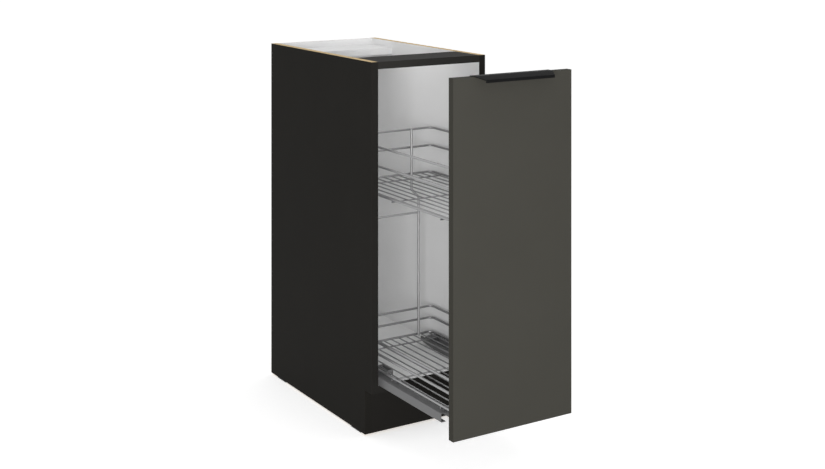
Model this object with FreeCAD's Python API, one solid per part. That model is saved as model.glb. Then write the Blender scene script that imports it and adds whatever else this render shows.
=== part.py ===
"""Pull-out base cabinet: a narrow kitchen carcass, a full-height front on roller runners, two wire baskets.

Millimetres, +Z up. X runs across the cabinet, Y from the front to the back, Z = 0 is the floor.
The origin is under the middle of the whole depth, from the pulled-out handle to the back edges.
The model is at rest with the front pulled out as far as it goes.
Helpers take y as a distance behind the front plane of the carcass.
"""
import FreeCAD, Part
import math
import os

# Carcass
CABINET_WIDTH = 300.0
CABINET_DEPTH = 500.0
PANEL_HEIGHT = 820.0
BOARD = 16.0
EDGE_BAND = 1.0
TOE_RECESS = 30.0
TOE_HEIGHT = 97.0
FRONT_STRETCHER_DEPTH = 98.0
REAR_STRETCHER_DEPTH = 101.0
REAR_STRETCHER_DROP = 16.0
BACK_THICKNESS = 3.0
BACK_INSET = 7.0
BACK_GROOVE = 6.0
BACK_FIT = 0.1

# Floor glides
GLIDE_HEIGHT = 4.0
GLIDE_LENGTH = 42.0
GLIDE_WIDTH = 13.0
GLIDE_EDGE = 1.2
FRONT_GLIDE_BACK = 74.0
REAR_GLIDE_INSET = 54.0

# Panel fixings
DOWEL_RADIUS = 4.0
DOWEL_LENGTH = 30.0
DOWEL_IN_SIDE = 11.0
CAM_RADIUS = 7.5
CAM_DEPTH = 12.5
CAM_SETBACK = 24.0
CAM_SLOT_WIDTH = 1.6
CAM_SLOT_DEPTH = 2.0
BOLT_RADIUS = 3.0
BOLT_IN_SIDE = 10.0
FIXING_FIT = 0.1
FIXING_INSET = 30.0
BOTTOM_DOWEL_INSET = 150.0
PLINTH_DOWEL_INSET = 30.0

# Door and its travel
DOOR_SIDE_REVEAL = 1.5
DOOR_BOTTOM = 103.0
DOOR_THICKNESS = 16.0
DOOR_TOP_DROP = 2.0
DOOR_GAP = 2.0
PULL_TRAVEL = 300.0
DOOR_EDGE_ROUND = 0.8
BUMPER_RADIUS = 4.5
BUMPER_THICKNESS = 1.7
BUMPER_INSET = 40.0

# Edge-pull handle
HANDLE_LENGTH = 170.0
HANDLE_REACH = 25.0
HANDLE_LIP = 12.0
HANDLE_SHEET = 1.5
HANDLE_BEND = 1.55
HANDLE_FLANGE = 30.0
HANDLE_SCREW_SPREAD = 140.0

# Runner, measured inwards from the side panel and up from the bottom panel
RAIL_SHEET = 1.5
RAIL_SIDE_GAP = 0.5
RAIL_FLOOR_GAP = 0.5
RAIL_BEND = 2.0
RAIL_LIP = 12.0
RAIL_LEDGE_HEIGHT = 19.2
RAIL_LEDGE_WIDTH = 28.0
RAIL_FLANGE = 16.0
RAIL_LENGTH = 484.5
RAIL_DOOR_GAP = 3.5
RAIL_FRONT_TRIM = 48.5
RAIL_TRIM_WIDTH = 14.0
BRACKET_SHEET = 1.5
BRACKET_FRONT = 4.0
BRACKET_LENGTH = 194.0
BRACKET_WEB_AT = 16.0
BRACKET_WEB_HEIGHT = 14.5
BRACKET_FOOT = 18.0
BRACKET_FOOT_LENGTH = 137.0
BRACKET_WALL_HEIGHT = 18.0
BRACKET_WALL_ROUND = 3.0
BRACKET_TAIL_RISE = 7.0
RUNNER_SCREW_COUNT = 3
RUNNER_SCREW_AT = 22.0
RUNNER_SCREW_FIRST = 56.0
RUNNER_SCREW_PITCH = 35.0
ROLLER_CLEARANCE = 0.3
ROLLER_WIDTH = 10.5
ROLLER_AT = 4.2
ROLLER_HUB_RADIUS = 4.6
ROLLER_DISH = 2.0
ROLLER_RIM = 2.2
ROLLER_EDGE = 0.55
FRONT_ROLLER_BACK = 62.0
REAR_ROLLER_BACK = 160.0
AXLE_RADIUS = 2.5
AXLE_FIT = 0.06
AXLE_HEAD_RADIUS = 4.2
AXLE_HEAD = 1.0
STOP_CLEARANCE = 0.5
STOP_SIDE_GAP = 0.5
STOP_LENGTH = 9.0

# Screws and rivets
SCREW_RADIUS = 1.75
SCREW_HEAD_RADIUS = 3.5
SCREW_HEAD = 1.8
SCREW_HEAD_ROUND = 0.7
SCREW_RECESS_LENGTH = 3.4
SCREW_RECESS_WIDTH = 0.8
SCREW_RECESS_DEPTH = 1.1
SCREW_LENGTH = 12.0
SCREW_FIT = 0.05
RIVET_RADIUS = 2.0
RIVET_HEAD_RADIUS = 3.6
RIVET_HEAD = 1.2

# Baskets
WELD_GAP = 0.05
FRAME_WIRE = 2.6
CROSS_WIRE = 1.75
FLOOR_WIRE = 1.45
BASKET_SIDE_GAP = 11.1
BASKET_LENGTH = 459.0
BASKET_STANDOFF = 29.0
BASKET_CORNER = 14.0
FLOOR_WIRE_COUNT = 12
FLOOR_WIRE_MARGIN = 10.2
CROSS_WIRE_COUNT = 3
CROSS_WIRE_INSET = 37.0
CROSS_WIRE_OVERHANG = 2.5
UPPER_BASE_HEIGHT = 529.3
UPPER_MID_RISE = 63.0
UPPER_TOP_RISE = 105.4
LOWER_MID_RISE = 34.2
LOWER_TOP_RISE = 61.4

# Clips that seat the lower basket's cross wires on the rails
CLIP_AT = 14.3
CLIP_WIDTH = 5.2
CLIP_LENGTH = 9.0
CLIP_FLOOR = 3.1
CLIP_LIP = 1.4

# Blocks on the rails that key in between the two outer floor wires
HOLDER_FROM_FRONT = 270.5
HOLDER_LENGTH = 42.0
HOLDER_HEIGHT = 11.2
HOLDER_OUTER_GAP = 0.35
HOLDER_INNER_GAP = 3.3
HOLDER_WALL = 1.8
HOLDER_POCKET = 7.0
HOLDER_ROUND = 1.0
HOLDER_GROOVE_COUNT = 3
HOLDER_GROOVE_WIDTH = 1.2
HOLDER_GROOVE_DEPTH = 0.8

# Hanger rods
ROD = 3.0
ROD_BEND = 8.0
ROD_SPREAD = 83.0
ROD_NECK_SPREAD = 63.0
ROD_JOG_BOTTOM = 473.0
ROD_JOG_TOP = 493.0
CROSSBAR = 2.5
CROSSBAR_HEIGHT = 436.5

# Steel straps from the hangers and rails to the door
STRAP_SHEET = 2.0
STRAP_HEIGHT = 24.0
STRAP_FLANGE = 28.0
FLANGE_SHEET = 1.5
UPPER_STRAP_HEIGHT = 613.0
LOWER_STRAP_HEIGHT = 260.0
STRAP_SCREW_FIRST = 11.0
STRAP_SCREW_PITCH = 10.0
ANGLE_LEG = 44.0
ANGLE_ARM = 36.0
ANGLE_WIDTH = 12.0
ANGLE_AT = 15.0
ANGLE_RIVET_FIRST = 14.0
ANGLE_RIVET_PITCH = 13.0
ANGLE_SCREW_RISE = 5.5
ANGLE_SCREW_PITCH = 9.0

# Derived places
HALF_WIDTH = CABINET_WIDTH / 2
INNER_HALF = HALF_WIDTH - BOARD
PANEL_BOTTOM = GLIDE_HEIGHT
CARCASS_TOP = PANEL_BOTTOM + PANEL_HEIGHT
BOTTOM_UNDERSIDE = PANEL_BOTTOM + TOE_HEIGHT
CABINET_FLOOR = BOTTOM_UNDERSIDE + BOARD
BACK_FRONT = CABINET_DEPTH - BACK_INSET - BACK_THICKNESS
DOOR_BACK = -(DOOR_GAP + PULL_TRAVEL)
DOOR_FRONT = DOOR_BACK - DOOR_THICKNESS
DOOR_TOP = CARCASS_TOP - DOOR_TOP_DROP
DOOR_HALF_WIDTH = HALF_WIDTH - DOOR_SIDE_REVEAL
HANDLE_FRONT = DOOR_FRONT - HANDLE_REACH
FRONT_Y = -(CABINET_DEPTH + HANDLE_FRONT) / 2
STRETCHER_UNDERSIDE = CARCASS_TOP - BOARD
REAR_STRETCHER_TOP = CARCASS_TOP - REAR_STRETCHER_DROP
RAIL_FRONT = DOOR_BACK + RAIL_DOOR_GAP
LIP_TOP = RAIL_FLOOR_GAP + RAIL_SHEET
LEDGE_UNDERSIDE = RAIL_LEDGE_HEIGHT - RAIL_SHEET
ROLLER_RADIUS = (LEDGE_UNDERSIDE - LIP_TOP) / 2 - ROLLER_CLEARANCE
ROLLER_HEIGHT = CABINET_FLOOR + (LEDGE_UNDERSIDE + LIP_TOP) / 2
BASKET_HALF_WIDTH = INNER_HALF - BASKET_SIDE_GAP
BASKET_FRONT = DOOR_BACK + BASKET_STANDOFF
BASKET_REAR = BASKET_FRONT + BASKET_LENGTH
FRAME_ABOVE_LEDGE = CLIP_FLOOR + 2 * CROSS_WIRE + FRAME_WIRE + 2 * WELD_GAP
LOWER_BASE_HEIGHT = CABINET_FLOOR + RAIL_LEDGE_HEIGHT + FRAME_ABOVE_LEDGE
UPPER_TOP_HEIGHT = UPPER_BASE_HEIGHT + UPPER_TOP_RISE
ROD_OFFSET = FRAME_WIRE + ROD + WELD_GAP

X_AXIS = FreeCAD.Vector(1, 0, 0)
Y_AXIS = FreeCAD.Vector(0, 1, 0)
Z_AXIS = FreeCAD.Vector(0, 0, 1)
SIDES = (("left", -1), ("right", 1))


def point(x, y, z):
    return FreeCAD.Vector(x, y + FRONT_Y, z)


def box(x_span, y_span, z_span):
    low = point(min(x_span), min(y_span), min(z_span))
    high = point(max(x_span), max(y_span), max(z_span))
    size = high - low
    return Part.makeBox(size.x, size.y, size.z, low)


def rod(start, end, radius):
    """A straight round bar between two points."""
    line = end - start
    return Part.makeCylinder(radius, line.Length, start, line)


def bent_path(points, radius, closed=False):
    """Straight runs through the points, with an arc of the given radius at each bend."""
    count = len(points)
    bends = range(count) if closed else range(1, count - 1)
    corners = []
    for index in bends:
        corner = points[index]
        before = (points[index - 1] - corner).normalize()
        after = (points[(index + 1) % count] - corner).normalize()
        half = before.getAngle(after) / 2
        setback = radius / math.tan(half)
        inward = (before + after).normalize()
        middle = corner + inward * (radius / math.sin(half) - radius)
        corners.append((corner + before * setback, middle, corner + after * setback))
    if closed:
        start = corners[-1][2]
        end = None
    else:
        start = points[0]
        end = points[-1]
    edges = []
    for arc_start, middle, arc_end in corners:
        edges.append(Part.LineSegment(start, arc_start).toShape())
        edges.append(Part.Arc(arc_start, middle, arc_end).toShape())
        start = arc_end
    if end is not None:
        edges.append(Part.LineSegment(start, end).toShape())
    return Part.Wire(edges)


def bent_rod(points, radius, bend, closed=False):
    """A round wire swept along a bent path."""
    path = bent_path(points, bend, closed)
    first = path.OrderedEdges[0]
    start = first.valueAt(first.FirstParameter)
    circle = Part.Wire(Part.makeCircle(radius, start, first.tangentAt(first.FirstParameter)))
    return path.makePipeShell([circle], True, True)


def bent_sheet(points, bend, sheet, sweep):
    """Sheet metal: a bent outline thickened to the inside of its first bend, then drawn along the sweep."""
    outline = bent_path(points, bend)
    plain = outline.BoundBox
    for offset in (sheet, -sheet):
        face = outline.makeOffset2D(offset, 0, True, True, False)
        if face.BoundBox.DiagonalLength < plain.DiagonalLength + sheet / 2:
            return face.extrude(sweep)
    raise ValueError("the sheet has no inside")


def recess_slot(top, along, across, direction):
    """One of the two crossing slots in a screw head."""
    corner = top - along * (SCREW_RECESS_LENGTH / 2) - across * (SCREW_RECESS_WIDTH / 2)
    corners = [
        corner,
        corner + along * SCREW_RECESS_LENGTH,
        corner + along * SCREW_RECESS_LENGTH + across * SCREW_RECESS_WIDTH,
        corner + across * SCREW_RECESS_WIDTH,
        corner,
    ]
    return Part.Face(Part.makePolygon(corners)).extrude(direction * SCREW_RECESS_DEPTH)


def screw(seat, direction):
    """A pan-head screw: the head stands on the seat, the shank runs along the direction."""
    top = seat - direction * SCREW_HEAD
    head = rod(seat, top, SCREW_HEAD_RADIUS)
    rims = [edge for edge in head.Edges if edge.CenterOfMass.isEqual(top, SCREW_FIT)]
    head = head.makeFillet(SCREW_HEAD_ROUND, rims)
    shank = rod(seat, seat + direction * SCREW_LENGTH, SCREW_RADIUS)
    across = direction.cross(X_AXIS)
    recess = recess_slot(top, X_AXIS, across, direction).fuse(recess_slot(top, across, X_AXIS, direction))
    return head.fuse(shank).removeSplitter().cut(recess)


def screw_hole(seat, direction):
    return rod(seat, seat + direction * (SCREW_LENGTH + SCREW_FIT), SCREW_RADIUS + SCREW_FIT)


def group(solids):
    return Part.makeCompound(list(solids))


def mirrored(shape, side):
    """Shapes are drawn for the left side, where side is -1."""
    if side < 0:
        return shape
    return shape.mirror(FreeCAD.Vector(0, 0, 0), X_AXIS)


def left(inward):
    """X on the left side, given the distance inwards from the side panel."""
    return -INNER_HALF + inward


def save(name, shape):
    shape.exportStep("parts/" + name + ".step")


# Places of the dowels and cams that join the cross panels to the side panels


def panel_joint_places():
    """Dowel and cam centres as (y, z), and the face that each cam is set into (its z)."""
    bottom_z = BOTTOM_UNDERSIDE + BOARD / 2
    front_z = STRETCHER_UNDERSIDE + BOARD / 2
    rear_z = REAR_STRETCHER_TOP - BOARD / 2
    rear_start = BACK_FRONT - REAR_STRETCHER_DEPTH
    plinth_y = TOE_RECESS + BOARD / 2
    plinth_heights = (PANEL_BOTTOM + PLINTH_DOWEL_INSET, BOTTOM_UNDERSIDE - PLINTH_DOWEL_INSET)
    dowels = {
        "bottom": [(BOTTOM_DOWEL_INSET, bottom_z), (CABINET_DEPTH - BOTTOM_DOWEL_INSET, bottom_z)],
        "front": [(FRONT_STRETCHER_DEPTH - FIXING_INSET, front_z)],
        "rear": [(rear_start + FIXING_INSET, rear_z)],
        "plinth": [(plinth_y, z) for z in plinth_heights],
    }
    cams = {
        "bottom": [(TOE_RECESS + BOARD + FIXING_INSET, bottom_z), (BACK_FRONT - FIXING_INSET, bottom_z)],
        "front": [(FIXING_INSET, front_z)],
        "rear": [(BACK_FRONT - FIXING_INSET, rear_z)],
    }
    return dowels, cams


DOWELS, CAMS = panel_joint_places()


def dowel(side, y, z):
    start = point(side * (INNER_HALF + DOWEL_IN_SIDE), y, z)
    return rod(start, start - X_AXIS * side * DOWEL_LENGTH, DOWEL_RADIUS)


def dowel_hole(side, y, z):
    start = point(side * (INNER_HALF + DOWEL_IN_SIDE + FIXING_FIT), y, z)
    return rod(start, start - X_AXIS * side * (DOWEL_LENGTH + 2 * FIXING_FIT), DOWEL_RADIUS + FIXING_FIT)


def cam_bolt(side, y, z):
    """The bolt runs from the side panel to the near side of its cam."""
    start = point(side * (INNER_HALF + BOLT_IN_SIDE), y, z)
    reach = BOLT_IN_SIDE + CAM_SETBACK - CAM_RADIUS - FIXING_FIT
    return rod(start, start - X_AXIS * side * reach, BOLT_RADIUS)


def cam_bolt_hole(side, y, z):
    start = point(side * (INNER_HALF + BOLT_IN_SIDE + FIXING_FIT), y, z)
    reach = BOLT_IN_SIDE + CAM_SETBACK + FIXING_FIT
    return rod(start, start - X_AXIS * side * reach, BOLT_RADIUS + FIXING_FIT)


def cam_solid(side, y, z, grow):
    """A cam barrel set in from the underside of its panel."""
    mouth = point(side * (INNER_HALF - CAM_SETBACK), y, z - BOARD / 2)
    return rod(mouth, mouth + Z_AXIS * (CAM_DEPTH + grow), CAM_RADIUS + grow)


def cam_lock(side, y, z):
    """The barrel with a screwdriver slot in its visible face."""
    centre = side * (INNER_HALF - CAM_SETBACK)
    mouth = z - BOARD / 2
    slot_x = (centre - CAM_SLOT_WIDTH / 2, centre + CAM_SLOT_WIDTH / 2)
    slot = box(slot_x, (y - CAM_RADIUS, y + CAM_RADIUS), (mouth, mouth + CAM_SLOT_DEPTH))
    return cam_solid(side, y, z, 0).cut(slot)


def fixings_for(panel):
    """Everything bored out of one cross panel for its dowels, bolts and cams."""
    holes = []
    for name, side in SIDES:
        for y, z in DOWELS[panel]:
            holes.append(dowel_hole(side, y, z))
        for y, z in CAMS.get(panel, ()):
            holes.append(cam_bolt_hole(side, y, z))
            holes.append(cam_solid(side, y, z, FIXING_FIT))
    return group(holes)


def fixings_in_side(side):
    """Everything bored out of one side panel."""
    holes = [dowel_hole(side, y, z) for places in DOWELS.values() for y, z in places]
    holes += [cam_bolt_hole(side, y, z) for places in CAMS.values() for y, z in places]
    return group(holes)


# Carcass


def side_panel(side):
    x_span = (side * INNER_HALF, side * HALF_WIDTH)
    panel = box(x_span, (EDGE_BAND, CABINET_DEPTH), (PANEL_BOTTOM, CARCASS_TOP))
    toe = box(x_span, (0, TOE_RECESS), (PANEL_BOTTOM, BOTTOM_UNDERSIDE))
    groove_x = (side * INNER_HALF, side * (INNER_HALF + BACK_GROOVE))
    groove_y = (BACK_FRONT - BACK_FIT, BACK_FRONT + BACK_THICKNESS + BACK_FIT)
    groove = box(groove_x, groove_y, (BOTTOM_UNDERSIDE, CARCASS_TOP))
    return panel.cut(toe).cut(groove).cut(fixings_in_side(side))


def bottom_panel():
    panel = box((-INNER_HALF, INNER_HALF), (EDGE_BAND, BACK_FRONT), (BOTTOM_UNDERSIDE, CABINET_FLOOR))
    pilots = group(screw_hole(seat, -Z_AXIS) for seat in runner_screw_seats())
    return panel.cut(fixings_for("bottom")).cut(pilots)


def front_stretcher():
    y_span = (EDGE_BAND, FRONT_STRETCHER_DEPTH)
    panel = box((-INNER_HALF, INNER_HALF), y_span, (STRETCHER_UNDERSIDE, CARCASS_TOP))
    return panel.cut(fixings_for("front"))


def rear_stretcher():
    y_span = (BACK_FRONT - REAR_STRETCHER_DEPTH, BACK_FRONT)
    panel = box((-INNER_HALF, INNER_HALF), y_span, (REAR_STRETCHER_TOP - BOARD, REAR_STRETCHER_TOP))
    return panel.cut(fixings_for("rear"))


def back_panel():
    half = INNER_HALF + BACK_GROOVE - BACK_FIT
    y_span = (BACK_FRONT, BACK_FRONT + BACK_THICKNESS)
    return box((-half, half), y_span, (BOTTOM_UNDERSIDE + BACK_FIT, CARCASS_TOP))


def plinth_board():
    y_span = (TOE_RECESS, TOE_RECESS + BOARD)
    panel = box((-INNER_HALF, INNER_HALF), y_span, (PANEL_BOTTOM, BOTTOM_UNDERSIDE))
    return panel.cut(fixings_for("plinth"))


def edge_band(x_span, z_span):
    return box(x_span, (0, EDGE_BAND), z_span)


def floor_glide(side, y):
    """A flat nail-on glide with eased lower edges."""
    middle = side * (HALF_WIDTH - BOARD / 2)
    x_span = (middle - GLIDE_WIDTH / 2, middle + GLIDE_WIDTH / 2)
    pad = box(x_span, (y - GLIDE_LENGTH / 2, y + GLIDE_LENGTH / 2), (0, GLIDE_HEIGHT))
    lower = [edge for edge in pad.Edges if edge.BoundBox.ZMax < GLIDE_HEIGHT / 2]
    return pad.makeChamfer(GLIDE_EDGE, lower)


def build_carcass():
    dowels = [dowel(side, y, z) for name, side in SIDES for places in DOWELS.values() for y, z in places]
    bolts = [cam_bolt(side, y, z) for name, side in SIDES for places in CAMS.values() for y, z in places]
    cams = [cam_lock(side, y, z) for name, side in SIDES for places in CAMS.values() for y, z in places]
    glide_places = (FRONT_GLIDE_BACK, CABINET_DEPTH - REAR_GLIDE_INSET)
    glides = [floor_glide(side, y) for name, side in SIDES for y in glide_places]
    inner = (-INNER_HALF, INNER_HALF)
    for name, side in SIDES:
        board = (side * INNER_HALF, side * HALF_WIDTH)
        save("side_panel_" + name, side_panel(side))
        save("edge_band_" + name, edge_band(board, (BOTTOM_UNDERSIDE, CARCASS_TOP)))
    save("bottom_panel", bottom_panel())
    save("edge_band_bottom", edge_band(inner, (BOTTOM_UNDERSIDE, CABINET_FLOOR)))
    save("front_stretcher", front_stretcher())
    save("edge_band_stretcher", edge_band(inner, (STRETCHER_UNDERSIDE, CARCASS_TOP)))
    save("rear_stretcher", rear_stretcher())
    save("back_panel", back_panel())
    save("plinth_board", plinth_board())
    save("floor_glides", group(glides))
    save("dowels", group(dowels))
    save("cam_bolts", group(bolts))
    save("cam_locks", group(cams))


# Fixed half of the runners


def runner_screw_seats():
    """Points on top of the bracket feet where the runner screws sit."""
    x = INNER_HALF - RUNNER_SCREW_AT
    z = CABINET_FLOOR + BRACKET_SHEET
    first = BRACKET_FRONT + RUNNER_SCREW_FIRST
    places = [first + RUNNER_SCREW_PITCH * step for step in range(RUNNER_SCREW_COUNT)]
    return [point(side * x, y, z) for name, side in SIDES for y in places]


def axle_places():
    return (("front", FRONT_ROLLER_BACK), ("rear", REAR_ROLLER_BACK))


def upper_end_edges(wall):
    """The two short edges across the top corners of an upright plate that runs from front to back."""
    top = wall.BoundBox.ZMax
    upper = [edge for edge in wall.Edges if edge.BoundBox.ZMin > top - BRACKET_SHEET]
    return [edge for edge in upper if edge.Length < 2 * BRACKET_SHEET]


def bracket_tail(inner, outer):
    """The wedge cut away under the rear end of the bracket, behind its foot."""
    start = BRACKET_FRONT + BRACKET_FOOT_LENGTH
    end = BRACKET_FRONT + BRACKET_LENGTH
    corners = [
        point(inner, start, CABINET_FLOOR),
        point(inner, end, CABINET_FLOOR),
        point(inner, end, CABINET_FLOOR + BRACKET_TAIL_RISE),
        point(inner, start, CABINET_FLOOR),
    ]
    return Part.Face(Part.makePolygon(corners)).extrude(X_AXIS * (outer - inner))


def runner_bracket(side):
    """A channel screwed to the bottom panel: its web carries the roller axles, its inner wall covers them."""
    y_span = (BRACKET_FRONT, BRACKET_FRONT + BRACKET_LENGTH)
    foot_x = (left(BRACKET_WEB_AT), left(BRACKET_WEB_AT + BRACKET_FOOT))
    web_x = (foot_x[0], foot_x[0] + BRACKET_SHEET)
    wall_x = (foot_x[1] - BRACKET_SHEET, foot_x[1])
    foot = box(foot_x, y_span, (CABINET_FLOOR, CABINET_FLOOR + BRACKET_SHEET))
    web = box(web_x, y_span, (CABINET_FLOOR, CABINET_FLOOR + BRACKET_WEB_HEIGHT))
    wall = box(wall_x, y_span, (CABINET_FLOOR, CABINET_FLOOR + BRACKET_WALL_HEIGHT))
    wall = wall.makeFillet(BRACKET_WALL_ROUND, upper_end_edges(wall))
    channel = foot.multiFuse([web, wall]).removeSplitter().cut(bracket_tail(web_x[1], wall_x[1]))
    for name, y in axle_places():
        start = point(web_x[0], y, ROLLER_HEIGHT)
        channel = channel.cut(rod(start, start + X_AXIS * BRACKET_SHEET, AXLE_RADIUS + AXLE_FIT))
    channel = mirrored(channel, side)
    return channel.cut(group(screw_hole(seat, -Z_AXIS) for seat in runner_screw_seats()))


def roller_axle(side, y):
    """A shouldered rivet: outer head, pin through the roller and the web, inner head."""
    outer = point(left(ROLLER_AT - AXLE_FIT), y, ROLLER_HEIGHT)
    web_back = point(left(BRACKET_WEB_AT + BRACKET_SHEET), y, ROLLER_HEIGHT)
    pin = rod(outer, web_back, AXLE_RADIUS)
    outer_head = rod(outer - X_AXIS * AXLE_HEAD, outer, AXLE_HEAD_RADIUS)
    inner_head = rod(web_back, web_back + X_AXIS * AXLE_HEAD, AXLE_HEAD_RADIUS)
    return mirrored(pin.multiFuse([outer_head, inner_head]).removeSplitter(), side)


def roller(side, y):
    """A turned plastic wheel: hub, dished web and a rim with eased edges."""
    bore = AXLE_RADIUS + AXLE_FIT
    inner_rim = ROLLER_RADIUS - ROLLER_RIM
    outline = [
        (0, bore),
        (0, ROLLER_HUB_RADIUS),
        (ROLLER_DISH, ROLLER_HUB_RADIUS),
        (ROLLER_DISH, inner_rim),
        (0, inner_rim),
        (0, ROLLER_RADIUS - ROLLER_EDGE),
        (ROLLER_EDGE, ROLLER_RADIUS),
        (ROLLER_WIDTH - ROLLER_EDGE, ROLLER_RADIUS),
        (ROLLER_WIDTH, ROLLER_RADIUS - ROLLER_EDGE),
        (ROLLER_WIDTH, inner_rim),
        (ROLLER_WIDTH - ROLLER_DISH, inner_rim),
        (ROLLER_WIDTH - ROLLER_DISH, ROLLER_HUB_RADIUS),
        (ROLLER_WIDTH, ROLLER_HUB_RADIUS),
        (ROLLER_WIDTH, bore),
    ]
    corners = [point(left(ROLLER_AT + along), y, ROLLER_HEIGHT + radius) for along, radius in outline]
    section = Part.Face(Part.makePolygon(corners + corners[:1]))
    wheel = section.revolve(point(0, y, ROLLER_HEIGHT), X_AXIS, 360)
    return mirrored(wheel, side)


def build_runner_brackets():
    for name, side in SIDES:
        save("runner_bracket_" + name, runner_bracket(side))
        for end, y in axle_places():
            save("roller_" + name + "_" + end, roller(side, y))
    save("roller_axles", group(roller_axle(side, y) for name, side in SIDES for end, y in axle_places()))
    save("runner_screws", group(screw(seat, -Z_AXIS) for seat in runner_screw_seats()))


# Moving half of the runners


def angle_rivet_places():
    """Rivets through the angle's arm and the rail ledge, as (inward, y)."""
    inward = ANGLE_AT + ANGLE_WIDTH / 2
    first = DOOR_BACK + ANGLE_RIVET_FIRST
    return [(inward, first), (inward, first + ANGLE_RIVET_PITCH)]


def moving_rail(side):
    """A rolled rail: lip under the rollers, outer wall, ledge for the basket, inner flange, front tongue."""
    low = CABINET_FLOOR + RAIL_FLOOR_GAP
    high = CABINET_FLOOR + RAIL_LEDGE_HEIGHT
    outer = left(RAIL_SIDE_GAP)
    inner = left(RAIL_SIDE_GAP + RAIL_LEDGE_WIDTH)
    outline = [
        point(left(RAIL_LIP), RAIL_FRONT, low),
        point(outer, RAIL_FRONT, low),
        point(outer, RAIL_FRONT, high),
        point(inner, RAIL_FRONT, high),
        point(inner, RAIL_FRONT, high - RAIL_FLANGE),
    ]
    rail = bent_sheet(outline, RAIL_BEND, RAIL_SHEET, Y_AXIS * RAIL_LENGTH)
    trim_y = (RAIL_FRONT, RAIL_FRONT + RAIL_FRONT_TRIM)
    rail = rail.cut(box((left(0), left(RAIL_TRIM_WIDTH)), trim_y, (CABINET_FLOOR, high)))
    for inward, y in angle_rivet_places():
        start = point(left(inward), y, CABINET_FLOOR + LEDGE_UNDERSIDE)
        rail = rail.cut(rod(start, start + Z_AXIS * RAIL_SHEET, RIVET_RADIUS + SCREW_FIT))
    return mirrored(rail, side)


def rail_stop(side):
    """A plastic block in the rail that meets the rear roller when the front is fully out."""
    x_span = (left(RAIL_SIDE_GAP + RAIL_SHEET + STOP_SIDE_GAP), left(RAIL_LIP))
    start = REAR_ROLLER_BACK + ROLLER_RADIUS + STOP_CLEARANCE
    z_span = (CABINET_FLOOR + LIP_TOP, CABINET_FLOOR + LEDGE_UNDERSIDE)
    return mirrored(box(x_span, (start, start + STOP_LENGTH), z_span), side)


def angle_screw_seats():
    """Points on the back of the door angles where their screws sit."""
    inward = ANGLE_AT + ANGLE_WIDTH / 2
    low = CABINET_FLOOR + RAIL_LEDGE_HEIGHT + FLANGE_SHEET + ANGLE_SCREW_RISE
    y = DOOR_BACK + FLANGE_SHEET
    return [point(-side * left(inward), y, z) for name, side in SIDES for z in (low, low + ANGLE_SCREW_PITCH)]


def door_angle(side):
    """A steel angle: its arm lies on the rail ledge, its leg stands against the door."""
    x_span = (left(ANGLE_AT), left(ANGLE_AT + ANGLE_WIDTH))
    arm_z = CABINET_FLOOR + RAIL_LEDGE_HEIGHT
    arm = box(x_span, (DOOR_BACK, DOOR_BACK + ANGLE_ARM), (arm_z, arm_z + FLANGE_SHEET))
    leg_low = CABINET_FLOOR + RAIL_FLOOR_GAP
    leg = box(x_span, (DOOR_BACK, DOOR_BACK + FLANGE_SHEET), (leg_low, leg_low + ANGLE_LEG))
    angle = arm.fuse(leg).removeSplitter()
    for inward, y in angle_rivet_places():
        start = point(left(inward), y, arm_z)
        angle = angle.cut(rod(start, start + Z_AXIS * FLANGE_SHEET, RIVET_RADIUS + SCREW_FIT))
    angle = mirrored(angle, side)
    return angle.cut(group(screw_hole(seat, -Y_AXIS) for seat in angle_screw_seats()))


def angle_rivet(side, inward, y):
    low = point(left(inward), y, CABINET_FLOOR + LEDGE_UNDERSIDE)
    high = point(left(inward), y, CABINET_FLOOR + RAIL_LEDGE_HEIGHT + FLANGE_SHEET)
    shank = rod(low, high, RIVET_RADIUS)
    lower_head = rod(low - Z_AXIS * RIVET_HEAD, low, RIVET_HEAD_RADIUS)
    upper_head = rod(high, high + Z_AXIS * RIVET_HEAD, RIVET_HEAD_RADIUS)
    return mirrored(shank.multiFuse([lower_head, upper_head]).removeSplitter(), side)


def build_moving_rails():
    for name, side in SIDES:
        save("moving_rail_" + name, moving_rail(side))
        save("rail_stop_" + name, rail_stop(side))
        save("door_angle_" + name, door_angle(side))
    rivets = [angle_rivet(side, inward, y) for name, side in SIDES for inward, y in angle_rivet_places()]
    save("angle_rivets", group(rivets))
    save("angle_screws", group(screw(seat, -Y_AXIS) for seat in angle_screw_seats()))


# Wire baskets


def wire_loop(height):
    """A closed wire with rounded corners round the whole basket."""
    corners = [
        point(-BASKET_HALF_WIDTH, BASKET_FRONT, height),
        point(BASKET_HALF_WIDTH, BASKET_FRONT, height),
        point(BASKET_HALF_WIDTH, BASKET_REAR, height),
        point(-BASKET_HALF_WIDTH, BASKET_REAR, height),
    ]
    return bent_rod(corners, FRAME_WIRE, BASKET_CORNER, closed=True)


def spread(count, low, high):
    step = (high - low) / (count - 1)
    return [low + step * index for index in range(count)]


def frame_inset(x):
    """How far inside the basket's ends a floor wire at x meets the base frame."""
    inner_bend = BASKET_CORNER - FRAME_WIRE - WELD_GAP
    into_bend = max(0, abs(x) + FLOOR_WIRE - (BASKET_HALF_WIDTH - BASKET_CORNER))
    return BASKET_CORNER - math.sqrt(inner_bend ** 2 - into_bend ** 2)


def floor_wire(x, height, inset):
    return rod(point(x, BASKET_FRONT + inset, height), point(x, BASKET_REAR - inset, height), FLOOR_WIRE)


def floor_wire_places():
    """Evenly spaced from side to side."""
    edge = BASKET_HALF_WIDTH - FLOOR_WIRE_MARGIN
    return spread(FLOOR_WIRE_COUNT, -edge, edge)


def floor_wires(height):
    """Wires from front to back that the goods stand on."""
    return group(floor_wire(x, height, frame_inset(x)) for x in floor_wire_places())


def cross_wire_places():
    return spread(CROSS_WIRE_COUNT, BASKET_FRONT + CROSS_WIRE_INSET, BASKET_REAR - CROSS_WIRE_INSET)


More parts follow.
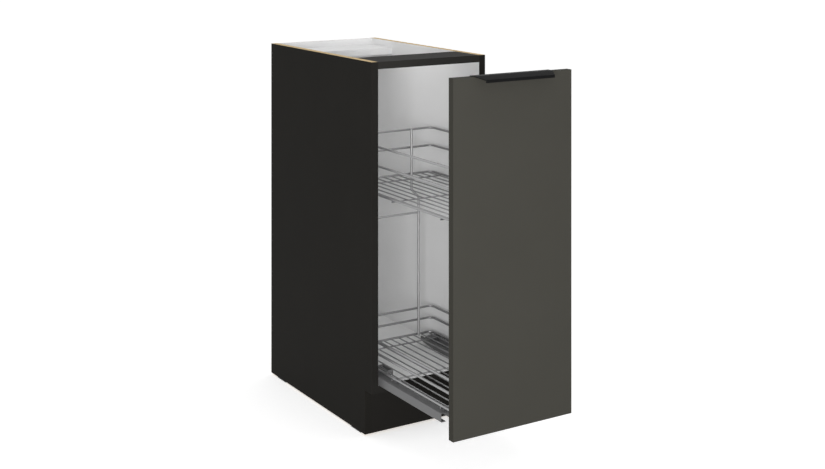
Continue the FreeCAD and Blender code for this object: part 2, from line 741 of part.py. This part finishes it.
def cross_wire_height(base_height):
    """Cross wires run under the base frame."""
    return base_height - FRAME_WIRE - CROSS_WIRE - WELD_GAP


def cross_wire(y, height, radius):
    half = BASKET_HALF_WIDTH + CROSS_WIRE_OVERHANG
    return rod(point(-half, y, height), point(half, y, height), radius)


def basket_clip(side, y):
    """A saddle on the rail's ledge that holds the end of a cross wire."""
    height = cross_wire_height(LOWER_BASE_HEIGHT)
    ledge = CABINET_FLOOR + RAIL_LEDGE_HEIGHT
    x_span = (left(CLIP_AT), left(CLIP_AT + CLIP_WIDTH))
    block = box(x_span, (y - CLIP_LENGTH / 2, y + CLIP_LENGTH / 2), (ledge, ledge + CLIP_FLOOR + CLIP_LIP))
    return mirrored(block.cut(cross_wire(y, height, CROSS_WIRE + WELD_GAP)), side)


def basket_holder(side):
    """A pocketed plastic block on the rail's ledge, with a grooved front."""
    outer_wire, inner_wire = floor_wire_places()[:2]
    x_span = (outer_wire + FLOOR_WIRE + HOLDER_OUTER_GAP, inner_wire - FLOOR_WIRE - HOLDER_INNER_GAP)
    front = BASKET_FRONT + HOLDER_FROM_FRONT
    y_span = (front, front + HOLDER_LENGTH)
    ledge = CABINET_FLOOR + RAIL_LEDGE_HEIGHT
    top = ledge + HOLDER_HEIGHT
    block = box(x_span, y_span, (ledge, top))
    upright = [edge for edge in block.Edges if edge.BoundBox.ZLength > HOLDER_HEIGHT / 2]
    block = block.makeFillet(HOLDER_ROUND, upright)
    pocket_x = (x_span[0] + HOLDER_WALL, x_span[1] - HOLDER_WALL)
    pocket_y = (y_span[0] + HOLDER_WALL, y_span[1] - HOLDER_WALL)
    block = block.cut(box(pocket_x, pocket_y, (top - HOLDER_POCKET, top)))
    groove_edge = HOLDER_ROUND + HOLDER_GROOVE_WIDTH
    for x in spread(HOLDER_GROOVE_COUNT, x_span[0] + groove_edge, x_span[1] - groove_edge):
        groove_x = (x - HOLDER_GROOVE_WIDTH / 2, x + HOLDER_GROOVE_WIDTH / 2)
        block = block.cut(box(groove_x, (front, front + HOLDER_GROOVE_DEPTH), (ledge, top)))
    return mirrored(block, side)


def build_basket(level, base_height, mid_rise, top_rise):
    """Floor wires lie on the cross wires and butt against the base frame."""
    cross_height = cross_wire_height(base_height)
    floor_height = cross_height + CROSS_WIRE + FLOOR_WIRE + WELD_GAP
    cross = [cross_wire(y, cross_height, CROSS_WIRE) for y in cross_wire_places()]
    save(level + "_base_frame", wire_loop(base_height))
    save(level + "_mid_rail", wire_loop(base_height + mid_rise))
    save(level + "_top_rail", wire_loop(base_height + top_rise))
    save(level + "_cross_wires", group(cross))
    save(level + "_floor_wires", floor_wires(floor_height))


# Hangers that carry the upper basket


def hanger_places():
    return (("front", BASKET_FRONT + ROD_OFFSET), ("rear", BASKET_REAR - ROD_OFFSET))


def hanger_upright(side, y, radius):
    """A rod from the lower base frame to the upper top rail, drawn in below the upper basket."""
    outline = [
        point(-ROD_SPREAD, y, LOWER_BASE_HEIGHT - FRAME_WIRE),
        point(-ROD_SPREAD, y, ROD_JOG_BOTTOM),
        point(-ROD_NECK_SPREAD, y, ROD_JOG_TOP),
        point(-ROD_NECK_SPREAD, y, UPPER_TOP_HEIGHT + FRAME_WIRE),
    ]
    return mirrored(bent_rod(outline, radius, ROD_BEND), side)


def upright_distance(height):
    """How far an upright's centre is from the middle at a height."""
    jog = (height - ROD_JOG_BOTTOM) / (ROD_JOG_TOP - ROD_JOG_BOTTOM)
    return ROD_SPREAD + (ROD_NECK_SPREAD - ROD_SPREAD) * min(max(jog, 0), 1)


def hanger_crossbar(y):
    """A bar between the two uprights, with its ends cut to their round."""
    half = upright_distance(CROSSBAR_HEIGHT)
    bar = rod(point(-half, y, CROSSBAR_HEIGHT), point(half, y, CROSSBAR_HEIGHT), CROSSBAR)
    return bar.cut(group(hanger_upright(side, y, ROD + WELD_GAP) for name, side in SIDES))


def strap_places():
    """Straps at the two heights, as (name, distance of the front upright from the middle, height)."""
    return (("upper", ROD_NECK_SPREAD, UPPER_STRAP_HEIGHT), ("lower", ROD_SPREAD, LOWER_STRAP_HEIGHT))


def strap_inner_face(rod_spread):
    return rod_spread + ROD + WELD_GAP


def strap_screw_seats():
    y = DOOR_BACK + FLANGE_SHEET
    seats = []
    for name, rod_spread, height in strap_places():
        first = strap_inner_face(rod_spread) + STRAP_SCREW_FIRST
        for x in (first, first + STRAP_SCREW_PITCH):
            seats += [point(side * x, y, height) for end, side in SIDES]
    return seats


def door_strap(side, rod_spread, height):
    """A strap from a front upright to the door, with a flange for its screws."""
    inner = strap_inner_face(rod_spread)
    z_span = (height - STRAP_HEIGHT / 2, height + STRAP_HEIGHT / 2)
    rear = BASKET_FRONT + ROD_OFFSET + ROD
    arm = box((-inner, -inner - STRAP_SHEET), (DOOR_BACK, rear), z_span)
    flange = box((-inner, -inner - STRAP_FLANGE), (DOOR_BACK, DOOR_BACK + FLANGE_SHEET), z_span)
    strap = mirrored(arm.fuse(flange).removeSplitter(), side)
    return strap.cut(group(screw_hole(seat, -Y_AXIS) for seat in strap_screw_seats()))


def build_hangers():
    for end, y in hanger_places():
        for name, side in SIDES:
            save("hanger_" + end + "_" + name, hanger_upright(side, y, ROD))
        save("hanger_crossbar_" + end, hanger_crossbar(y))
    for level, rod_spread, height in strap_places():
        for name, side in SIDES:
            save("door_strap_" + level + "_" + name, door_strap(side, rod_spread, height))
    save("strap_screws", group(screw(seat, -Y_AXIS) for seat in strap_screw_seats()))


# Door front


def handle_screw_seats():
    """Behind the door, below the front stretcher, so that the heads clear it when the door is shut."""
    z = STRETCHER_UNDERSIDE - SCREW_HEAD_RADIUS - DOOR_GAP
    y = DOOR_BACK + HANDLE_SHEET
    return [point(side * HANDLE_SCREW_SPREAD / 2, y, z) for name, side in SIDES]


def handle():
    """A bent profile over the door's top edge: flange behind, plate on top, finger lip in front."""
    top = DOOR_TOP + HANDLE_SHEET
    half = HANDLE_LENGTH / 2
    outline = [
        point(-half, DOOR_BACK + HANDLE_SHEET, top - HANDLE_FLANGE),
        point(-half, DOOR_BACK + HANDLE_SHEET, top),
        point(-half, HANDLE_FRONT, top),
        point(-half, HANDLE_FRONT, top - HANDLE_LIP),
    ]
    profile = bent_sheet(outline, HANDLE_BEND, HANDLE_SHEET, X_AXIS * HANDLE_LENGTH)
    return profile.cut(group(screw_hole(seat, -Y_AXIS) for seat in handle_screw_seats()))


def door():
    slab = box((-DOOR_HALF_WIDTH, DOOR_HALF_WIDTH), (DOOR_FRONT, DOOR_BACK), (DOOR_BOTTOM, DOOR_TOP))
    face_y = DOOR_FRONT + FRONT_Y + DOOR_THICKNESS / 2
    front_edges = [edge for edge in slab.Edges if edge.BoundBox.YMax < face_y]
    slab = slab.makeFillet(DOOR_EDGE_ROUND, front_edges)
    seats = handle_screw_seats() + strap_screw_seats() + angle_screw_seats()
    return slab.cut(group(screw_hole(seat, -Y_AXIS) for seat in seats))


def door_bumpers():
    x = HALF_WIDTH - BOARD / 2
    heights = (DOOR_BOTTOM + BUMPER_INSET, DOOR_TOP - BUMPER_INSET)
    seats = [point(side * x, DOOR_BACK, z) for name, side in SIDES for z in heights]
    return group(rod(seat, seat + Y_AXIS * BUMPER_THICKNESS, BUMPER_RADIUS) for seat in seats)


def build_door():
    save("door", door())
    save("door_bumpers", door_bumpers())
    save("handle", handle())
    save("handle_screws", group(screw(seat, -Y_AXIS) for seat in handle_screw_seats()))


os.makedirs("parts", exist_ok=True)
build_carcass()
build_runner_brackets()
build_moving_rails()
build_basket("lower", LOWER_BASE_HEIGHT, LOWER_MID_RISE, LOWER_TOP_RISE)
build_basket("upper", UPPER_BASE_HEIGHT, UPPER_MID_RISE, UPPER_TOP_RISE)
save("basket_clips", group(basket_clip(side, y) for name, side in SIDES for y in cross_wire_places()))
save("basket_holders", group(basket_holder(side) for name, side in SIDES))
build_hangers()
build_door()
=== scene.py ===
"""Looks of the pull-out base cabinet: its finishes, its handle, the studio and the camera.

Metres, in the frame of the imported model: X across, Y from front to back, Z up from the floor.
"""
import math

import bpy
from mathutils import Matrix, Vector


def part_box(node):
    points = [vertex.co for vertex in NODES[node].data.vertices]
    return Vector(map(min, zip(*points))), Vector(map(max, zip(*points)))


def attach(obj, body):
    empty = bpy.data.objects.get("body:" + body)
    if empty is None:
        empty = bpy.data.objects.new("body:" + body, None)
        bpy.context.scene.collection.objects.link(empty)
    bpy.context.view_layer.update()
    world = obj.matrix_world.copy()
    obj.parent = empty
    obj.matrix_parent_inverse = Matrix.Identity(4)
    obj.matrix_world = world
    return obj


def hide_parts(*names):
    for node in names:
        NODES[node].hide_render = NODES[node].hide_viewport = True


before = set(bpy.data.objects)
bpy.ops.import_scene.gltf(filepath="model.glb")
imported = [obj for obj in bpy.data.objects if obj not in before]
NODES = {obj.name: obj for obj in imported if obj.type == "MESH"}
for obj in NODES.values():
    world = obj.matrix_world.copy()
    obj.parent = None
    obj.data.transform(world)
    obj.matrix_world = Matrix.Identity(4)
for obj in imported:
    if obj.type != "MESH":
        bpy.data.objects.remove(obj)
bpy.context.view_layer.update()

MM = 0.001

# Camera: level, with its frame shifted down so that upright edges stay upright
IMAGE_WIDTH_PX = 825
IMAGE_HEIGHT_PX = 469
FOCAL_PX = 1338.62
HORIZON_ROW_PX = -86.87
CAMERA_YAW = 0.555
CAMERA_FROM_FRONT = Vector((-1.60943, -2.52180, 1.14871))
SENSOR_MM = 36.0

# Surface colours, linear
GRAPHITE = (0.0134, 0.0127, 0.0113)
# Painted light: the edge bands take the boards' graphite made lighter, to stand in for light on the front
# edges
GRAPHITE_BAND_PAINTED_LIGHT = (0.0166, 0.0158, 0.0144)
# Painted light: the front stretcher's edge band is the same graphite band made lighter still, for light
# falling on the top front edge
STRETCHER_BAND_PAINTED_LIGHT = (0.0250, 0.0240, 0.0222)
PLINTH_FACE = (0.0138, 0.0130, 0.0118)
INNER_WHITE = (0.81, 0.81, 0.81)
# Painted light: the bottom panel is the same white melamine as the interior, made lighter to stand in for
# light on it
BOTTOM_WHITE_PAINTED_LIGHT = (0.90, 0.90, 0.90)
CHIP_PALE = (0.62, 0.46, 0.24)
CHIP_DARK = (0.33, 0.21, 0.09)
DOOR_OLIVE = (0.0458, 0.0443, 0.0380)
# Painted shade: the door's edges are the door's own lacquer made darker, standing in for shade on the
# sideways faces
DOOR_EDGE_PAINTED_SHADE = (0.0370, 0.0358, 0.0302)
COAT_BLACK = (0.0075, 0.0075, 0.0077)
PLASTIC_BLACK = (0.0105, 0.0105, 0.0105)
RAIL_GREY = (0.110, 0.110, 0.111)
BRACKET_GREY = (0.150, 0.150, 0.151)
ZINC = (0.60, 0.60, 0.58)
CHROME = (0.35, 0.35, 0.354)
# Painted reflection: the hanger rods are the baskets' chrome made lighter, standing in for the white
# interior that they reflect
HANGER_ROD_PAINTED_LIGHT = (0.46, 0.46, 0.464)
NYLON = (0.72, 0.72, 0.70)
BEECH = (0.50, 0.33, 0.18)
HARDBOARD = (0.27, 0.17, 0.09)
RUBBER = (0.50, 0.50, 0.49)

# Sheen of the matt boards, share of grit in the chipboard, and where most values of a noise lie
MATT_SHEEN = 0.012
GRIT_SHARE = 0.5
NOISE_LOW = 0.3
NOISE_HIGH = 0.7


# Node helpers


def shade(colour, factor):
    return tuple(channel * factor for channel in colour)


class Shader:
    """A Principled material with short ways to add texture nodes."""

    def __init__(self, name, colour, roughness, metallic=0.0):
        self.material = bpy.data.materials.new(name)
        self.material.use_nodes = True
        self.nodes = self.material.node_tree.nodes
        self.links = self.material.node_tree.links
        self.bsdf = self.nodes["Principled BSDF"]
        self.bsdf.inputs["Base Color"].default_value = (*colour, 1)
        self.bsdf.inputs["Roughness"].default_value = roughness
        self.bsdf.inputs["Metallic"].default_value = metallic
        self.place = self.nodes.new("ShaderNodeTexCoord").outputs["Object"]

    def stretched(self, scale):
        """Object coordinates scaled by axis, for grain and brushing."""
        mapping = self.nodes.new("ShaderNodeMapping")
        mapping.inputs["Scale"].default_value = scale
        self.links.new(self.place, mapping.inputs["Vector"])
        return mapping.outputs["Vector"]

    def noise(self, scale, detail, rough=0.55, vector=None):
        node = self.nodes.new("ShaderNodeTexNoise")
        node.inputs["Scale"].default_value = scale
        node.inputs["Detail"].default_value = detail
        node.inputs["Roughness"].default_value = rough
        self.links.new(vector or self.place, node.inputs["Vector"])
        return node.outputs["Fac"]

    def cells(self, scale, vector):
        node = self.nodes.new("ShaderNodeTexVoronoi")
        node.inputs["Scale"].default_value = scale
        self.links.new(vector, node.inputs["Vector"])
        return node.outputs["Color"]

    def colour(self, factor, stops):
        """Base colour from a ramp through (position, colour) stops."""
        node = self.nodes.new("ShaderNodeValToRGB")
        elements = node.color_ramp.elements
        while len(elements) < len(stops):
            elements.new(0.5)
        for element, (position, colour) in zip(elements, stops):
            element.position = position
            element.color = (*colour, 1)
        self.links.new(factor, node.inputs["Fac"])
        self.links.new(node.outputs["Color"], self.bsdf.inputs["Base Color"])

    def tint(self, factor, colour, dark, pale):
        """Base colour that runs between two shades, each given as (position, brightness)."""
        self.colour(factor, [(position, shade(colour, brightness)) for position, brightness in (dark, pale)])

    def roughness(self, factor, low, high):
        node = self.nodes.new("ShaderNodeMapRange")
        node.inputs["From Min"].default_value = NOISE_LOW
        node.inputs["From Max"].default_value = NOISE_HIGH
        node.inputs["To Min"].default_value = low
        node.inputs["To Max"].default_value = high
        self.links.new(factor, node.inputs["Value"])
        self.links.new(node.outputs["Result"], self.bsdf.inputs["Roughness"])

    def sheen(self, level):
        self.bsdf.inputs["Specular IOR Level"].default_value = level

    def bump(self, output, height_mm, strength):
        node = self.nodes.new("ShaderNodeBump")
        node.inputs["Distance"].default_value = height_mm * MM
        node.inputs["Strength"].default_value = strength
        self.links.new(output, node.inputs["Height"])
        self.links.new(node.outputs["Normal"], self.bsdf.inputs["Normal"])


def seen_directly(nodes, links):
    """One for what the camera sees, also mirrored or through glass; nought for light on the object."""
    rays = nodes.new("ShaderNodeLightPath").outputs
    seen = rays["Is Camera Ray"]
    for ray in ("Is Glossy Ray", "Is Transmission Ray"):
        either = nodes.new("ShaderNodeMath")
        either.operation = "MAXIMUM"
        links.new(seen, either.inputs[0])
        links.new(rays[ray], either.inputs[1])
        seen = either.outputs["Value"]
    return seen


# Materials


def melamine(name, colour, roughness, variation):
    """Pressed melamine: a fine pearl grain, faint clouding and a soft sheen."""
    shader = Shader(name, colour, roughness)
    clouds = shader.noise(scale=9.0, detail=4.0)
    shader.tint(clouds, colour, dark=(0.25, 1 - variation), pale=(0.75, 1 + variation))
    pearl = shader.noise(scale=1500.0, detail=2.0, rough=0.6)
    shader.roughness(pearl, low=roughness - 0.05, high=roughness + 0.05)
    shader.bump(pearl, height_mm=0.02, strength=0.35)
    shader.sheen(MATT_SHEEN)
    return shader.material


def chipboard():
    """A sawn board edge: pale chips and dark gaps."""
    shader = Shader("raw_chipboard", CHIP_PALE, roughness=0.85)
    chips = shader.cells(scale=330.0, vector=shader.stretched((1.0, 0.45, 1.0)))
    grit = shader.noise(scale=900.0, detail=4.0, rough=0.65)
    blend = shader.nodes.new("ShaderNodeMix")
    blend.data_type = "FLOAT"
    blend.inputs["Factor"].default_value = GRIT_SHARE
    shader.links.new(chips, blend.inputs["A"])
    shader.links.new(grit, blend.inputs["B"])
    stops = [(0.2, CHIP_DARK), (0.42, shade(CHIP_PALE, 0.85)), (0.8, shade(CHIP_PALE, 1.2))]
    shader.colour(blend.outputs["Result"], stops)
    shader.bump(grit, height_mm=0.15, strength=0.6)
    return shader.material


def lacquer(name, colour):
    """A deep-matt face: an even colour with a very fine orange peel."""
    shader = Shader(name, colour, roughness=0.5)
    clouds = shader.noise(scale=5.0, detail=3.0)
    shader.tint(clouds, colour, dark=(0.25, 0.97), pale=(0.75, 1.03))
    peel = shader.noise(scale=2200.0, detail=2.0, rough=0.5)
    shader.roughness(peel, low=0.46, high=0.56)
    shader.bump(peel, height_mm=0.012, strength=0.3)
    shader.sheen(MATT_SHEEN)
    return shader.material


def powder_coat(name, colour, roughness, grain_mm, sheen):
    """Sprayed and baked coating with its pebbled grain."""
    shader = Shader(name, colour, roughness)
    grain = shader.noise(scale=1.0 / (grain_mm * MM), detail=3.0)
    shader.tint(grain, colour, dark=(0.3, 0.9), pale=(0.7, 1.1))
    shader.roughness(grain, low=roughness - 0.06, high=roughness + 0.06)
    shader.bump(grain, height_mm=0.03, strength=0.4)
    shader.sheen(sheen)
    return shader.material


def bright_metal(name, colour, roughness, stretch):
    """Plated steel: drawn along its length, with faint cloudy patches."""
    shader = Shader(name, colour, roughness, metallic=1.0)
    drawn = shader.noise(scale=260.0, detail=3.0, rough=0.6, vector=shader.stretched(stretch))
    shader.tint(drawn, colour, dark=(0.3, 0.94), pale=(0.7, 1.05))
    shader.roughness(drawn, low=roughness * 0.8, high=roughness * 1.25)
    shader.bump(drawn, height_mm=0.01, strength=0.12)
    return shader.material


def plastic(name, colour, roughness):
    """Moulded plastic with a light spark-eroded grain."""
    shader = Shader(name, colour, roughness)
    flow = shader.noise(scale=60.0, detail=2.0)
    shader.tint(flow, colour, dark=(0.3, 0.94), pale=(0.7, 1.06))
    grain = shader.noise(scale=1800.0, detail=2.0, rough=0.6)
    shader.roughness(grain, low=roughness - 0.06, high=roughness + 0.06)
    shader.bump(grain, height_mm=0.02, strength=0.3)
    return shader.material


def beech():
    """Turned beech dowel: short flecks along the grain."""
    shader = Shader("beech_wood", BEECH, roughness=0.6)
    flecks = shader.noise(scale=420.0, detail=4.0, rough=0.6, vector=shader.stretched((0.12, 1.0, 1.0)))
    shader.tint(flecks, BEECH, dark=(0.3, 0.75), pale=(0.7, 1.15))
    shader.bump(flecks, height_mm=0.05, strength=0.4)
    return shader.material


def hardboard():
    """The unfaced side of a thin fibre board: fine matted fibres and faint blotches."""
    shader = Shader("raw_hardboard", HARDBOARD, roughness=0.8)
    blotches = shader.noise(scale=14.0, detail=3.0)
    shader.tint(blotches, HARDBOARD, dark=(0.3, 0.95), pale=(0.7, 1.05))
    fibres = shader.noise(scale=1100.0, detail=4.0, rough=0.7, vector=shader.stretched((0.5, 1.0, 1.0)))
    shader.roughness(fibres, low=0.7, high=0.9)
    shader.bump(fibres, height_mm=0.05, strength=0.5)
    shader.sheen(MATT_SHEEN)
    return shader.material


MATERIALS = {
    "graphite": melamine("graphite_melamine", GRAPHITE, roughness=0.5, variation=0.04),
    "white": melamine("pale_melamine", INNER_WHITE, roughness=0.5, variation=0.015),
    # A lighter copy of the interior white for the bottom panel: painted light
    "bottom": melamine("bottom_melamine_painted_light", BOTTOM_WHITE_PAINTED_LIGHT, roughness=0.5, variation=0.015),
    "chip": chipboard(),
    # Edge bands in a lighter graphite: painted light on the front edges
    "band": melamine("edge_band", GRAPHITE_BAND_PAINTED_LIGHT, roughness=0.45, variation=0.04),
    # The stretcher's edge band in an even lighter graphite: painted light
    "stretcher_band_painted_light": melamine("stretcher_band_painted_light", STRETCHER_BAND_PAINTED_LIGHT, roughness=0.45, variation=0.04),
    "plinth": melamine("plinth_face", PLINTH_FACE, roughness=0.5, variation=0.04),
    "door": lacquer("door_matt", DOOR_OLIVE),
    # A darker copy of the door lacquer for its edges: painted shade
    "door_edge_painted_shade": lacquer("door_edge_painted_shade", DOOR_EDGE_PAINTED_SHADE),
    "black": powder_coat("black_coat", COAT_BLACK, roughness=0.42, grain_mm=0.5, sheen=0.014),
    "rail": powder_coat("silver_coat", RAIL_GREY, roughness=0.38, grain_mm=0.4, sheen=0.3),
    "bracket": powder_coat("dark_coat", BRACKET_GREY, roughness=0.45, grain_mm=0.4, sheen=0.3),
    "zinc": bright_metal("zinc_plate", ZINC, roughness=0.3, stretch=(1.0, 1.0, 1.0)),
    "chrome": bright_metal("chrome_wire", CHROME, roughness=0.38, stretch=(0.4, 0.4, 0.4)),
    # A lighter copy of the chrome for the hanger rods: painted reflection
    "rod": bright_metal("hanger_rod_painted_light", HANGER_ROD_PAINTED_LIGHT, roughness=0.6, stretch=(1.0, 1.0, 0.2)),
    "nylon": plastic("white_nylon", NYLON, roughness=0.4),
    "plastic": plastic("black_plastic", PLASTIC_BLACK, roughness=0.5),
    "clip": plastic("grey_plastic", RAIL_GREY, roughness=0.5),
    "rubber": plastic("soft_dot", RUBBER, roughness=0.3),
    "beech": beech(),
    "hardboard": hardboard(),
}

# Which finish each node takes all over; the rest of the hardware is zinc
NODE_FINISH = {
    # The edge bands take the lighter graphite, which is painted light
    "edge_band_left": "band",
    "edge_band_right": "band",
    "edge_band_bottom": "band",
    "edge_band_stretcher": "stretcher_band_painted_light",
    "door_bumpers": "rubber",
    "handle": "black",
    "floor_glides": "plastic",
    "basket_clips": "clip",
    "basket_holders": "clip",
    "dowels": "beech",
    "roller_axles": "zinc",
}
PREFIX_FINISH = {
    "rail_stop": "plastic",
    "moving_rail": "rail",
    "runner_bracket": "bracket",
    "door_angle": "rail",
    "roller_": "nylon",
    "lower_": "chrome",
    "upper_": "chrome",
    "hanger_": "rod",
}


def finish_of(name):
    if name in NODE_FINISH:
        return NODE_FINISH[name]
    for prefix, finish in PREFIX_FINISH.items():
        if name.startswith(prefix):
            return finish
    return "zinc"


def paint(name, finish):
    mesh = NODES[name].data
    mesh.materials.clear()
    mesh.materials.append(MATERIALS[finish])


def paint_faces(name, finishes, choose):
    """Give each face of a board its own finish; choose returns an index into finishes."""
    mesh = NODES[name].data
    mesh.materials.clear()
    for finish in finishes:
        mesh.materials.append(MATERIALS[finish])
    for polygon in mesh.polygons:
        polygon.material_index = choose(polygon)


# Boards: how squarely a face points, the finishes' places in a list, and the reach of the toe recess
FACING = 0.9
BOARD_FINISHES = ("chip", "graphite", "white")
RAW, DARK, PALE = range(3)
FACED = 1
TOE_REACH = 0.2


def side_panel_faces(side):
    """Dark outside and in the toe recess, pale inside, raw on the sawn edges."""
    low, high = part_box("side_panel_left" if side < 0 else "side_panel_right")
    inner_x = high.x if side < 0 else low.x

    def choose(polygon):
        if polygon.normal.x * side > FACING and abs(polygon.center.x - inner_x) > MM:
            return DARK
        if polygon.normal.x * side < -FACING and abs(polygon.center.x - inner_x) < MM:
            return PALE
        if polygon.normal.y < -FACING and polygon.center.z < low.z + TOE_REACH:
            return DARK
        return RAW

    return choose


def flat_board_faces(top, bottom, front, back):
    """Finishes by the way a face points; the ends are raw."""

    def choose(polygon):
        if polygon.normal.z > FACING:
            return top
        if polygon.normal.z < -FACING:
            return bottom
        if polygon.normal.y < -FACING:
            return front
        if polygon.normal.y > FACING:
            return back
        return RAW

    return choose


def dress_nodes():
    for name in NODES:
        paint(name, finish_of(name))
    paint_faces("side_panel_left", BOARD_FINISHES, side_panel_faces(-1))
    paint_faces("side_panel_right", BOARD_FINISHES, side_panel_faces(1))
    # The bottom panel's faces take the lighter white, which is painted light
    paint_faces("bottom_panel", ("chip", "bottom"), flat_board_faces(FACED, FACED, RAW, RAW))
    paint_faces("front_stretcher", BOARD_FINISHES, flat_board_faces(DARK, PALE, RAW, RAW))
    paint_faces("rear_stretcher", BOARD_FINISHES, flat_board_faces(PALE, PALE, PALE, RAW))
    paint_faces("back_panel", ("hardboard", "white"), lambda polygon: int(polygon.normal.y < -FACING))
    paint_faces("plinth_board", ("chip", "plinth"), flat_board_faces(RAW, RAW, FACED, FACED))
    # Every face of the door that does not point front or back takes the darker lacquer, which is painted
    # shade
    paint_faces("door", ("door", "door_edge_painted_shade"), lambda polygon: int(abs(polygon.normal.y) < FACING))


dress_nodes()


def add_object(name, data):
    piece = bpy.data.objects.new(name, data)
    bpy.context.scene.collection.objects.link(piece)
    return piece


# Handle: a sheet bent over the door's top edge that slopes to a finger lip, with tapered ends
HANDLE_SHEET = 1.5 * MM
HANDLE_BEND = 2.5 * MM
HANDLE_DROP = 6.4 * MM
HANDLE_LIP = 12.0 * MM
HANDLE_TAPER = 13.0 * MM
BEND_STEPS = 6
CREASE = math.radians(35)


def rounded_corner(before, corner, after, radius):
    """Evenly spaced points of the arc that rounds one corner of a line."""
    back = (before - corner).normalized()
    ahead = (after - corner).normalized()
    half_angle = back.angle(ahead) / 2
    centre = corner + (back + ahead).normalized() * (radius / math.sin(half_angle))
    start = corner + back * (radius / math.tan(half_angle)) - centre
    end = corner + ahead * (radius / math.tan(half_angle)) - centre
    return [centre + start.slerp(end, step / BEND_STEPS) * radius for step in range(BEND_STEPS + 1)]


def inward(line, index):
    """The direction across the sheet at one point of its line."""
    along = line[min(index + 1, len(line) - 1)] - line[max(index - 1, 0)]
    return Vector((-along.y, along.x)).normalized()


def build_handle():
    """The sheet's outline in Y and Z, joined between its two ends."""
    low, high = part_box("handle")
    door_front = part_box("door")[0].y
    corners = [
        Vector((high.y, low.z)),
        Vector((high.y, high.z)),
        Vector((door_front, high.z)),
        Vector((low.y, high.z - HANDLE_DROP)),
        Vector((low.y, high.z - HANDLE_LIP)),
    ]
    outer = [corners[0]]
    for before, corner, after in zip(corners, corners[1:], corners[2:]):
        outer += rounded_corner(before, corner, after, HANDLE_BEND)
    outer.append(corners[-1])
    inner = [point + inward(outer, index) * HANDLE_SHEET for index, point in enumerate(outer)]
    outline = outer + inner[::-1]

    def half_length(y):
        forward = max(0.0, (door_front - y) / (door_front - low.y))
        return high.x + HANDLE_TAPER * (1 - forward)

    vertices = [(side * half_length(y), y, z) for side in (-1, 1) for y, z in outline]
    count = len(outline)
    faces = [(i, (i + 1) % count, (i + 1) % count + count, i + count) for i in range(count)]
    for i in range(len(outer) - 1):
        ring = (i, i + 1, count - 2 - i, count - 1 - i)
        faces.append(ring[::-1])
        faces.append(tuple(corner + count for corner in ring))
    mesh = bpy.data.meshes.new("edge_handle")
    mesh.from_pydata(vertices, [], faces)
    mesh.update()
    mesh.shade_smooth()
    mesh.set_sharp_from_angle(angle=CREASE)
    mesh.materials.append(MATERIALS["black"])
    piece = add_object("edge_handle", mesh)
    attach(piece, "pull_out")
    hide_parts("handle")


build_handle()

# Studio
WHITE = (1.0, 1.0, 1.0)
FLOOR_SIZE = 40.0
FLOOR_ALBEDO = 0.88
FLOOR_ROUGHNESS = 0.9
FLOOR_LIFT = 0.44
SKY_ON_OBJECT = 0.66
LIGHT_AIM = Vector((0, 0, 0.4))
TOP_LIGHT_AT = Vector((0.3, -0.2, 3.0))
TOP_LIGHT_SIZE = (2.5, 2.5)
TOP_LIGHT_WATTS = 12.0
FRONT_LIGHT_AT = Vector((-1.7, -2.9, 0.75))
FRONT_LIGHT_SIZE = (1.8, 0.8)
FRONT_LIGHT_WATTS = 85.0


def add_floor():
    """A pale floor that keeps the object's shadow and is lifted to white for the camera."""
    mesh = bpy.data.meshes.new("studio_floor")
    half = FLOOR_SIZE / 2
    corners = [(-half, -half, 0), (half, -half, 0), (half, half, 0), (-half, half, 0)]
    mesh.from_pydata(corners, [], [(0, 1, 2, 3)])
    floor = add_object("studio_floor", mesh)
    shader = Shader("studio_floor", shade(WHITE, FLOOR_ALBEDO), FLOOR_ROUGHNESS)
    shader.sheen(0.0)
    glow = shader.nodes.new("ShaderNodeEmission")
    glow.inputs["Color"].default_value = (*WHITE, 1)
    lift = shader.nodes.new("ShaderNodeMath")
    lift.operation = "MULTIPLY"
    lift.inputs[1].default_value = FLOOR_LIFT
    shader.links.new(seen_directly(shader.nodes, shader.links), lift.inputs[0])
    shader.links.new(lift.outputs["Value"], glow.inputs["Strength"])
    both = shader.nodes.new("ShaderNodeAddShader")
    shader.links.new(shader.bsdf.outputs["BSDF"], both.inputs[0])
    shader.links.new(glow.outputs["Emission"], both.inputs[1])
    shader.links.new(both.outputs["Shader"], shader.nodes["Material Output"].inputs["Surface"])
    mesh.materials.append(shader.material)


def light_world():
    """White to the camera and to reflections, a little dimmer as light on the object."""
    world = bpy.data.worlds.new("studio_world")
    bpy.context.scene.world = world
    world.use_nodes = True
    nodes = world.node_tree.nodes
    links = world.node_tree.links
    background = nodes["Background"]
    background.inputs["Color"].default_value = (*WHITE, 1)
    level = nodes.new("ShaderNodeMapRange")
    level.inputs["To Min"].default_value = SKY_ON_OBJECT
    level.inputs["To Max"].default_value = 1.0
    links.new(seen_directly(nodes, links), level.inputs["Value"])
    links.new(level.outputs["Result"], background.inputs["Strength"])


def add_lamp(name, place, size, watts):
    lamp = bpy.data.lights.new(name, "AREA")
    lamp.shape = "RECTANGLE"
    lamp.size, lamp.size_y = size
    lamp.energy = watts
    holder = add_object(name, lamp)
    holder.location = place
    holder.rotation_euler = (LIGHT_AIM - place).to_track_quat("-Z", "Y").to_euler()


def add_camera():
    camera = bpy.data.cameras.new("photo_camera")
    camera.sensor_width = SENSOR_MM
    camera.lens = FOCAL_PX / IMAGE_WIDTH_PX * SENSOR_MM
    camera.shift_y = (HORIZON_ROW_PX - IMAGE_HEIGHT_PX / 2) / IMAGE_WIDTH_PX
    holder = add_object("photo_camera", camera)
    carcass_front = Vector((0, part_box("edge_band_left")[0].y, 0))
    holder.location = CAMERA_FROM_FRONT + carcass_front
    holder.rotation_euler = (math.pi / 2, 0, -CAMERA_YAW)
    bpy.context.scene.camera = holder


add_floor()
light_world()
add_lamp("top_softbox", TOP_LIGHT_AT, TOP_LIGHT_SIZE, TOP_LIGHT_WATTS)
add_lamp("front_softbox", FRONT_LIGHT_AT, FRONT_LIGHT_SIZE, FRONT_LIGHT_WATTS)
add_camera()
bpy.context.scene.view_settings.view_transform = "Standard"
